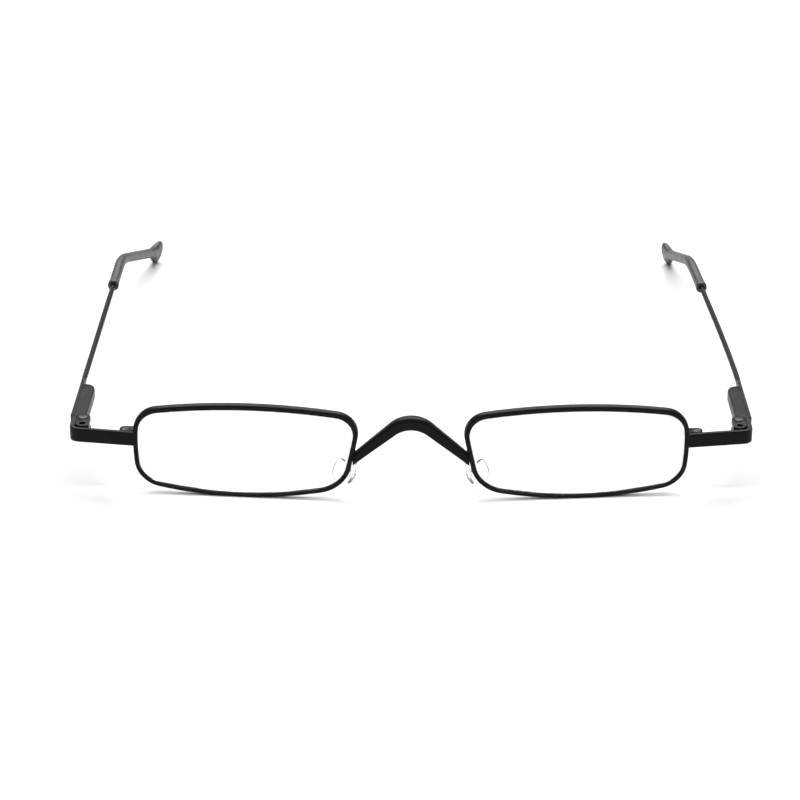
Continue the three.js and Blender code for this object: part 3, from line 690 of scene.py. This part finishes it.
def collar(ring, along, grow, reach):
    """Solder drawn round a bar where it meets another: ring is the bar's outline there, along the way
    back along the bar, grow how far it spreads on the other piece, in y and z."""
    middle = sum((Vector(p) for p in ring), Vector()) / len(ring)
    steps = 6
    sink = 0.2
    rings = []
    for k in range(steps + 1):
        angle = math.pi / 2 * k / steps
        rise, spread = reach * (1 - math.sin(angle)), 1 - math.cos(angle)
        rings.append([])
        for p in ring:
            out = (p - middle).normalized()
            ripple = 1 + 0.22 * noise.noise(p * 1.3)
            side = Vector((0, out.y * grow[0], out.z * grow[1])) * spread * ripple
            rings[-1].append(p + along * rise * ripple + side)
    sunk = [[p - (p - middle).normalized() * sink - along * 0.1 for p in ring]]
    return skin([*rings, *sunk], closed=True)


def bridge_solder():
    """The solder where an arm of the bridge meets its rim."""
    z = CROWN["z"] - CROWN["radius"] * (1 - math.cos(BRIDGE_ARM))
    bend_x = CROWN["radius"] * math.sin(BRIDGE_ARM)
    x = FOOT["x"] + 0.02
    ring = bridge_ring(x, z - (x - bend_x) * math.tan(BRIDGE_ARM), -BRIDGE_ARM, 1, 1)
    along = Vector((-math.cos(BRIDGE_ARM), 0, math.sin(BRIDGE_ARM)))
    return collar(ring, along, (0.12, 0.42), 0.55)


def bead(centre, radii, turn, seed):
    """A small uneven lump of solder: an ellipsoid turned about Y, with a soft ripple."""
    rings = []
    for k in range(1, 16):
        polar = math.pi * k / 16
        wide = math.sin(polar)
        rings.append([(wide * math.cos(a), wide * math.sin(a), math.cos(polar)) for a in turns(24)])
    points, faces = skin(rings, tips=((0, 0, 1), (0, 0, -1)))
    tilt = Matrix.Rotation(turn, 3, "Y")
    shaped = []
    for p in points:
        ripple = 1 + 0.12 * noise.noise(p * 1.7 + Vector((seed, 0, 0)))
        stretched = Vector((p.x * radii[0], p.y * radii[1], p.z * radii[2]))
        shaped.append(Vector(centre) + tilt @ stretched * ripple)
    return shaped, faces


def endpiece_path():
    """(point, heading) along the bar: out from the rim, round the corner and back to the hinge."""
    half = BAR["thick"] / 2
    centre_x = BAR["leg"] - BAR_BEND
    corner_x = centre_x + BAR_BEND * math.sin(BAR_SWEEP)
    corner_y = BAR["front"] + half + (corner_x - BAR["inner"]) * math.tan(BAR_SWEEP)
    start_x = BAR["inner"] - BAR["overlap"]
    start_y = corner_y - (corner_x - start_x) * math.tan(BAR_SWEEP)
    centre_y = corner_y + BAR_BEND * math.cos(BAR_SWEEP)
    path = []
    for k in range(12):
        share = k / 12
        x, y = mix(start_x, corner_x, share), mix(start_y, corner_y, share)
        path.append((Vector((x, y, mix(BAR_LOW, BAR_HIGH, share))), BAR_SWEEP))
    for k in range(25):
        heading = mix(BAR_SWEEP, math.pi / 2, k / 24)
        x, y = centre_x + BAR_BEND * math.sin(heading), centre_y - BAR_BEND * math.cos(heading)
        path.append((Vector((x, y, BAR_HIGH)), heading))
    for k in range(1, 9):
        share = k / 8
        y, z = mix(centre_y, BAR["leg_end"], share), mix(BAR_HIGH, HINGE_Z, share)
        path.append((Vector((BAR["leg"], y, z)), math.pi / 2))
    return path


def endpiece():
    """A flat bar with a bent leg, its edges rounded."""
    outline = box_section(BAR["thick"] / 2, BAR["high"] / 2, 0.2, 5)
    return skin([across_path(p, toward(heading).to_3d(), outline) for p, heading in endpiece_path()])


def lock_outline():
    inner, x, y, radius = LOCK["inner"], LOCK["x"], LOCK["y"], LOCK["round"]
    return [(inner, y - radius), *arc(x, y, radius, -90, 90, 24), (inner, y + radius)]


def lock_block(low, high, counterbore):
    """One half of the rim's lock, with the screw's hole and, in the upper half, room for its head."""
    tools = [post(LOCK_HOLE, LOCK["x"], LOCK["y"], low - 1, high + 1)]
    if counterbore:
        tools.append(post(LOCK_COUNTERBORE, LOCK["x"], LOCK["y"], high - LOCK_SUNK, high + 1))
    return carved(plate(lock_outline(), low, high), tools)


def level_ring(radius, z, count):
    return [Vector((radius * math.cos(a), radius * math.sin(a), z)) for a in turns(count)]


def threaded_screw(shaft, head, head_high, length, turn, pitch=0.3):
    """A slotted screw standing on Z, its head's top at 0, with a cut thread below a plain neck."""
    count = 28
    depth = min(0.07, shaft * 0.2)
    edge = 0.07
    profile = [(head - edge + a, -edge + b) for a, b in arc(0, 0, edge, 90, 0, 4)]
    profile += [(head, -head_high), (shaft, -head_high)]
    rings = [level_ring(radius, z, count) for radius, z in profile]
    steps = int(length / pitch * 6)
    for k in range(1, steps + 1):
        z = -mix(head_high + 0.1, length - 0.12, k / steps)
        ring = []
        for a in turns(count):
            phase = (z / pitch + a / (2 * math.pi)) % 1
            radius = shaft - depth * (1 - abs(2 * phase - 1))
            ring.append(Vector((radius * math.cos(a), radius * math.sin(a), z)))
        rings.append(ring)
    rings.append(level_ring(0.7 * shaft, -length, count))
    slot_half, slot_deep = 0.11, head_high * 0.5
    slot = block((-2 * head, 2 * head), (-slot_half, slot_half), (-slot_deep, 1))
    body = carved(skin(rings), [slot])
    return moved(body, Matrix.Rotation(turn, 4, "Z"))


def lock_screw(turn):
    screw = threaded_screw(turn=turn, **LOCK_SCREW)
    return moved(screw, Matrix.Translation((LOCK["x"], LOCK["y"], LOCK["top"] - 0.05)))


def leaf_outline():
    """The hinge block from above: square at the front and round about the hinge axis."""
    outer = BAR["leg"] - BAR["thick"] / 2 - 0.05
    inner = HINGE_X - KNUCKLE_RADIUS
    meet = math.degrees(math.acos((outer - HINGE_X) / KNUCKLE_RADIUS))
    return [
        (inner + LEAF_INNER_CHAMFER, LEAF_FRONT),
        (outer - LEAF_OUTER_CHAMFER, LEAF_FRONT),
        (outer, LEAF_FRONT + LEAF_OUTER_CHAMFER),
        *arc(HINGE_X, HINGE_BACK, KNUCKLE_RADIUS, meet, 180, 30),
        (inner, LEAF_FRONT + LEAF_INNER_CHAMFER),
    ]


def hinge_leaf():
    """The front half of the hinge: a block with two knuckles, a screw hole with a recess for the head,
    and a shallow pocket in front of it."""
    x, y = HINGE_X, HINGE_BACK
    slot_low = HINGE_Z - EYE_SLOT / 2
    slot = block((x - 3, x + 3), (y - EYE_RADIUS - 0.12, y + 3), (slot_low, slot_low + EYE_SLOT))
    hole = post(HINGE_PIN + 0.06, x, y, KNUCKLE_BOTTOM - 1, KNUCKLE_TOP + 1)
    recess = post(HEAD_RECESS["radius"], x, y, KNUCKLE_TOP - HEAD_RECESS["deep"], KNUCKLE_TOP + 1)
    pocket_y, pocket_floor = LEAF_FRONT + LEAF_POCKET["back"], KNUCKLE_TOP - LEAF_POCKET["deep"]
    pocket = post(LEAF_POCKET["radius"], x - 0.1, pocket_y, pocket_floor, KNUCKLE_TOP + 1)
    return carved(plate(leaf_outline(), KNUCKLE_BOTTOM, KNUCKLE_TOP), [slot, hole, recess, pocket])


def hinge_screw(turn):
    screw = threaded_screw(turn=turn, **HINGE_SCREW)
    return moved(screw, Matrix.Translation((HINGE_X, HINGE_BACK, KNUCKLE_TOP + 0.08)))


# ---------------------------------------------------------------- nose pads, in the pad's own frame
# X is the pad's width, Z its height, and +Y faces the nose.


def teardrop(share):
    """The pad's outline, narrower at the top, drawn in by a share."""
    points = []
    for a in turns(72):
        x = PAD_WIDE / 2 * math.sin(a) * (1 - 0.2 * math.cos(a))
        points.append((x * share, PAD_HIGH / 2 * math.cos(a) * share))
    return points


def nose_pad():
    """A clear teardrop, crowned towards the nose, with a lip round it and a pocket behind for its core."""
    half = PAD_THICK / 2
    angles = [math.radians(t) for t in range(12, 85, 6)]
    profile = [(math.sin(t), half * math.cos(t)) for t in angles]
    profile += [(0.995, -half * 0.1), (1.03, -half * 0.2), (1.045, -half * 0.34), (1.03, -half * 0.5)]
    profile += [(0.985, -half * 0.66), (0.96, -half * 0.84), (0.92, -half * 0.97), (0.86, -half)]
    profile += [(0.6, -half), (0.3, -half)]
    rings = [[Vector((x, y, z)) for x, z in teardrop(share)] for share, y in profile]
    body = skin(rings, tips=((0, half, 0), (0, -half, 0)))
    pocket = block((LUG_X - 1.05, LUG_X + 1.05), (-half - 1, -0.3), (-1.25, 1.25))
    return moved(carved(body, [pocket]), PAD_PLACE)


def pad_core():
    """The plate moulded into the pad, with the lug that the box holds."""
    back = -PAD_THICK / 2
    base = block((LUG_X - 1, LUG_X + 1), (back, -0.36), (-1.2, 1.2))
    neck = block((LUG_X - 0.36, LUG_X + 0.36), (LUG_Y, back + 0.1), (-0.46, 0.46))
    eye = cross_bar(0.46, LUG_X - 0.36, LUG_X + 0.36, LUG_Y)
    hole = cross_bar(PAD_PIN_HOLE, LUG_X - 2, LUG_X + 2, LUG_Y)
    return moved(carved(base, [hole], [neck, eye]), PAD_PLACE)


def pad_box():
    """A small channel, open towards the pad, that the lug rocks in."""
    body = block((LUG_X - 0.75, LUG_X + 0.75), (LUG_Y - 0.85, LUG_Y + 0.42), (-0.62, 0.62))
    channel = block((LUG_X - 0.43, LUG_X + 0.43), (LUG_Y - 0.53, 0), (-2, 2))
    hole = cross_bar(PAD_PIN_HOLE, LUG_X - 2, LUG_X + 2, LUG_Y)
    return moved(carved(body, [channel, hole]), PAD_PLACE)


def pad_screw():
    screw = threaded_screw(turn=0.6, **PAD_SCREW)
    across = Matrix.Translation((LUG_X - 0.98, LUG_Y, 0)) @ Matrix.Rotation(-math.pi / 2, 4, "Y")
    return moved(moved(screw, across), PAD_PLACE)


def smooth_route(knots, steps):
    """(point, tangent) at even steps of a smooth curve through the knots."""
    knots = [Vector(p) for p in knots]
    ends = [knots[0] * 2 - knots[1], *knots, knots[-1] * 2 - knots[-2]]
    curve = []
    for a, b, c, d in zip(ends, ends[1:], ends[2:], ends[3:]):
        for k in range(steps):
            t = k / steps
            point = b * 2 + (c - a) * t + (a * 2 - b * 5 + c * 4 - d) * t**2 + (b * 3 - a - c * 3 + d) * t**3
            curve.append(point / 2)
    curve.append(knots[-1])
    return [(p, curve[min(k + 1, len(curve) - 1)] - curve[max(k - 1, 0)]) for k, p in enumerate(curve)]


def pad_arm():
    """A wire from the back of the rim, under the bridge's foot, round to the pad's box."""
    end = PAD_PLACE @ Vector((LUG_X, LUG_Y - 0.8, 0))
    before = PAD_PLACE @ Vector((LUG_X, LUG_Y - 1.3, 0.1))
    knots = [(12.34, 0.42, 6.35), (12.65, 1.3, 6.35), (13.1, 2.1, 5.7), before, end]
    outline = ring_of(PAD_ARM_RADIUS, 20)
    return skin([across_path(p, tangent.normalized(), outline) for p, tangent in smooth_route(knots, 10)])


# ---------------------------------------------------------------- temple, from the hinge axis


def on_temple(shape, side):
    """From the temple's own frame, whose Y runs back along it, to the half's."""
    slide = JOINTS[f"{side}_hinge_spring_travel"]["axis"]
    toe_in = math.atan2(abs(slide[0]), slide[1])
    return moved(shape, Matrix.Translation((HINGE_X, HINGE_BACK, 0)) @ Matrix.Rotation(toe_in, 4, "Z"))


def hinge_plunger():
    """The eye that turns on the hinge screw, with the shaft that draws the temple home."""
    eye = post(EYE_RADIUS, 0, 0, HINGE_Z - EYE_HIGH / 2, HINGE_Z + EYE_HIGH / 2, 48)
    shaft = rod(PLUNGER["radius"], PLUNGER["x"], HINGE_Z, 0.72, PLUNGER["end"], 28)
    hole = post(HINGE_PIN + 0.08, 0, 0, HINGE_Z - 3, HINGE_Z + 3)
    return carved(eye, [hole], [shaft])


def spring_housing():
    """A box brazed inside the temple strip, bored from the front for the plunger and its spring."""
    count = 56
    wide = HOUSING["outer"] - HOUSING["inner"]
    front, back = HOUSING["front"], HOUSING["back"]

    def shell(y, share, squareness):
        width = wide * share
        outline = soft_section(width / 2, HOUSING["high"] / 2 * math.sqrt(share), squareness, count)
        return [Vector((HOUSING["outer"] - width / 2 + a, y, HINGE_Z + b)) for a, b in outline]

    def bore(y):
        outline = soft_section(BORE_RADIUS, BORE_RADIUS, 1, count)
        return [Vector((PLUNGER["x"] + a, y, HINGE_Z + b)) for a, b in outline]

    rings = [bore(BORE_END), bore(front + 0.1), bore(front)]
    rings += [shell(front, 0.84, 0.3), shell(front + 0.03, 0.86, 0.3), shell(front + 0.5, 0.985, 0.26)]
    rings += [shell(front + 0.6, 1, 0.26)]
    taper = back - 3.6
    rings += [shell(mix(front + 0.7, taper, k / 6), 1, 0.26) for k in range(7)]
    for k in range(1, 29):
        t = k / 28
        share = 1 - 0.62 * smooth(t) ** 1.5 - 0.3 * max(0, (t - 0.86) / 0.14) ** 2.2
        rings.append(shell(mix(taper, back, math.sin(t * math.pi / 2)), share, mix(0.26, 0.7, t)))
    return skin(rings)


def temple_route(side):
    """Points along the wire and its tip: back, bowed a little inwards, and turned down behind the ear."""
    start = Vector((WIRE_X, STRIP["wire_from"], HINGE_Z))
    straight = Vector((WIRE_X, mix(STRIP["wire_from"], BEND_AT, WIRE_STRAIGHT), HINGE_Z))
    corner = Vector((WIRE_X - WIRE_BOW[side], BEND_AT, HINGE_Z))
    end = Vector((corner.x - TIP_INSET[side], TIP_END, TIP_END_Z))
    before = corner + (straight - corner).normalized() * BEND_REACH
    after = corner + (end - corner).normalized() * BEND_REACH
    line = [start.lerp(straight, k / 40).lerp(straight.lerp(before, k / 40), k / 40) for k in range(40)]
    for k in range(24):
        t = k / 24
        line.append(before.lerp(corner, t).lerp(corner.lerp(after, t), t))
    line += [after.lerp(end, k / 60) for k in range(61)]
    return line


def along(line, distance):
    """(point, tangent) at a distance along a line of points."""
    for a, b in zip(line, line[1:]):
        step = (b - a).length
        if distance <= step or b is line[-1]:
            return a.lerp(b, min(distance / step, 1)), (b - a).normalized()
        distance -= step


def smooth_along(line, distance):
    """along(), with the tangent taken over a short stretch so that it turns evenly."""
    reach = 0.6
    ahead, behind = along(line, distance + reach)[0], along(line, max(distance - reach, 0))[0]
    return along(line, distance)[0], (ahead - behind).normalized()


def line_length(line):
    return sum((b - a).length for a, b in zip(line, line[1:]))


def temple_arm(side):
    """A flat strip beside the housing that becomes a round wire, whose end is the tip's core."""
    count = 40
    middle = (STRIP["inner"] + STRIP["outer"]) / 2
    half_thick = (STRIP["outer"] - STRIP["inner"]) / 2

    def strip(y, share):
        half_high = mix(STRIP["high"] / 2, WIRE_RADIUS, share)
        outline = soft_section(mix(half_thick, WIRE_RADIUS, share), half_high, mix(0.24, 1, share), count)
        return [Vector((mix(middle, WIRE_X, share) + a, y, HINGE_Z + b)) for a, b in outline]

    rings = [strip(mix(STRIP["front"], STRIP["end"], k / 4), 0) for k in range(5)]
    rings += [strip(mix(STRIP["end"], STRIP["wire_from"], k / 16), smooth(k / 16)) for k in range(1, 16)]
    line = temple_route(side)
    sleeve = SLEEVE_START - STRIP["wire_from"]
    core = mix(sleeve, line_length(line), CORE_SHARE)
    wire = soft_section(WIRE_RADIUS, WIRE_RADIUS, 1, count)
    stops = 60
    rings += [across_path(*smooth_along(line, core * k / stops), wire) for k in range(stops + 1)]
    return skin(rings)


def tip_half_sizes(from_mouth, to_end):
    """(half width, half height) of the tip at a distance from its mouth and from its end."""
    lip = round_over(from_mouth / 0.3)
    end = round_over(to_end / 0.9)
    wide = TIP_RADIUS + 0.1 * (1 - smooth((from_mouth - 1.2) / 1.4)) - 0.17 * (1 - lip)
    flare = 1 - smooth((to_end - 0.8) / (TIP_FLARE["length"] - 0.8))
    high = wide + TIP_FLARE["high"] * flare**1.6
    return wide * mix(0.4, 1, end), high * mix(0.67, 1, end)


def round_over(share):
    """0 to 1 along a quarter circle."""
    return math.sqrt(1 - (1 - min(max(share, 0), 1)) ** 2)


def turned(outline, angle):
    c, s = math.cos(angle), math.sin(angle)
    return [(a * c - b * s, a * s + b * c) for a, b in outline]


def temple_tip(side):
    """A moulded sleeve over the wire's end, flaring to a leaning paddle that rests on the table."""
    count = 48
    line = temple_route(side)
    total = line_length(line)
    mouth = SLEEVE_START - STRIP["wire_from"]
    core = mix(mouth, total, CORE_SHARE) + 0.4
    bore = soft_section(WIRE_RADIUS + 0.1, WIRE_RADIUS + 0.1, 1, count)
    rings = [across_path(*smooth_along(line, mix(core, mouth, k / 24)), bore) for k in range(25)]
    flare_from = total - TIP_FLARE["length"]
    stops = [mouth + 0.04 * k for k in range(9)]
    stops += [mix(mouth + 0.4, flare_from, k / 60) for k in range(61)]
    stops += [total - TIP_FLARE["length"] * (1 - k / 48) ** 1.35 for k in range(1, 49)]
    for distance in stops:
        to_end = total - distance
        lean = TIP_LEAN * (1 - smooth(to_end / (2 * TIP_FLARE["length"])))
        outline = soft_section(*tip_half_sizes(distance - mouth, to_end), 0.9, count)
        rings.append(across_path(*smooth_along(line, distance), turned(outline, lean)))
    return standing(skin(rings))


# ---------------------------------------------------------------- assembly


def build_front(side):
    turn = {"left": 0.5, "right": -0.9}[side]
    paint = {"side": side, "finish": "paint"}
    finished(f"{side}_rim", rim(), **paint)
    glass = finished(f"{side}_lens", lens(), "lens", side, crease=30)
    ground_edge(glass)
    finished(f"{side}_endpiece", endpiece(), soften=0.12, **paint)
    upper = lock_block(LOCK_HEIGHT + PAINTED_GAP, LOCK["top"], True)
    lower = lock_block(LOCK["bottom"], LOCK_HEIGHT - PAINTED_GAP, False)
    finished(f"{side}_lock_block_upper", upper, soften=0.09, **paint)
    finished(f"{side}_lock_block_lower", lower, soften=0.09, **paint)
    finished(f"{side}_lock_screw", lock_screw(turn), "screw", side)
    finished(f"{side}_hinge_leaf", hinge_leaf(), soften=0.09, **paint)
    finished(f"{side}_hinge_screw", hinge_screw(turn + 1), "screw", side)
    finished(f"{side}_pad_arm", pad_arm(), **paint)
    finished(f"{side}_pad_box", pad_box(), soften=0.06, **paint)
    finished(f"{side}_pad_screw", pad_screw(), "screw", side)
    finished(f"{side}_nose_pad", nose_pad(), "pad", side, soften=0.05)
    finished(f"{side}_pad_core", pad_core(), "pad", side, soften=0.04)
    piece(f"{side}_bridge_solder", bridge_solder(), "paint", "front", side)
    upper_bead = bead((12.3, 0.5, 6.3), (0.62, 0.55, 0.6), 0.3, 3.1)
    lower_bead = bead((12.1, 0.2, 5.75), (0.3, 0.4, 0.32), 0, 7.7)
    arm_joint = together(upper_bead, lower_bead)
    piece(f"{side}_pad_arm_solder", arm_joint, "paint", "front", side)


def build_temple(side):
    def add(name, shape, finish, **options):
        finished(f"{side}_{name}", on_temple(shape, side), finish, side, **options)

    add("hinge_plunger", hinge_plunger(), "steel", soften=0.05)
    add("spring_housing", spring_housing(), "paint")
    add("temple_arm", temple_arm(side), "paint")
    add("temple_tip", temple_tip(side), "tip")


def keep_cad_pieces():
    """The hidden pieces in each spring housing keep their CAD shape and get the steel."""
    for side in SIDES:
        for name in ("plunger_nut", "spring_bush", "hinge_spring"):
            node = frame["nodes"][f"{side}_{name}"]
            node.data.materials.clear()
            node.data.materials.append(FINISHES["steel"][0])


finished("bridge", bridge(), "paint")
for side in SIDES:
    build_front(side)
    build_temple(side)
keep_cad_pieces()

# ---------------------------------------------------------------- studio


def studio_floor():
    """A plain pale table, faintly uneven in tone."""
    mesh = bpy.data.meshes.new("studio_floor")
    half = 4.0
    corners = [(-half, -half, 0), (half, -half, 0), (half, half, 0), (-half, half, 0)]
    mesh.from_pydata(corners, [], [(0, 1, 2, 3)])
    floor = bpy.data.objects.new("studio_floor", mesh)
    bpy.context.scene.collection.objects.link(floor)
    material, tree, shader = new_material("pale_floor")
    tone = surface_noise(tree, 6, 3)
    colour = blend_colour(tree, tone, (0.87, 0.87, 0.872), (0.89, 0.89, 0.89))
    tree.links.new(colour, shader.inputs["Base Color"])
    shader.inputs["Roughness"].default_value = 0.75
    shader.inputs["Specular IOR Level"].default_value = 0.2
    mesh.materials.append(material)


def softbox(name, place, target, size, power):
    """A rectangular light that faces a point."""
    light = bpy.data.lights.new(name, "AREA")
    light.shape = "RECTANGLE"
    light.size, light.size_y = size
    light.energy = power
    lamp = bpy.data.objects.new(name, light)
    lamp.location = place
    lamp.rotation_euler = (Vector(target) - Vector(place)).to_track_quat("-Z", "Y").to_euler()
    bpy.context.scene.collection.objects.link(lamp)


def studio_lights():
    middle = (0, 0, 0.01)
    softbox("overhead", (0, 0.55, 1.0), middle, (1.1, 0.9), 17)
    softbox("back", (0, 1.1, 0.75), middle, (1.3, 0.4), 6)
    softbox("strip", (0, -0.28, 0.75), middle, (0.55, 0.05), 1.2)
    for side, sign in SIDES.items():
        softbox(f"{side}_key", (sign * 0.85, -0.45, 0.75), middle, (0.3, 0.3), 0.8)
    world = bpy.data.worlds.new("room")
    world.use_nodes = True
    world.node_tree.nodes["Background"].inputs["Color"].default_value = (1, 1, 1, 1)
    world.node_tree.nodes["Background"].inputs["Strength"].default_value = 0.2
    bpy.context.scene.world = world


def studio_camera():
    """In front of the glasses and 23 degrees above them, with a long lens."""
    camera = bpy.data.objects.new("camera", bpy.data.cameras.new("camera"))
    camera.data.lens = 132.73
    camera.data.sensor_width = 36
    camera.data.clip_start = 0.01
    camera.location = Vector((-2.2, FRONT_Y - 527.1, 244.66)) * MM
    tilt = Matrix.Rotation(math.radians(90 - CAMERA_ELEVATION), 3, "X")
    tilt = tilt @ Matrix.Rotation(math.radians(CAMERA_ROLL), 3, "Z")
    camera.rotation_euler = tilt.to_euler()
    bpy.context.scene.collection.objects.link(camera)
    bpy.context.scene.camera = camera


studio_floor()
studio_lights()
studio_camera()
bpy.context.scene.view_settings.view_transform = "Standard"
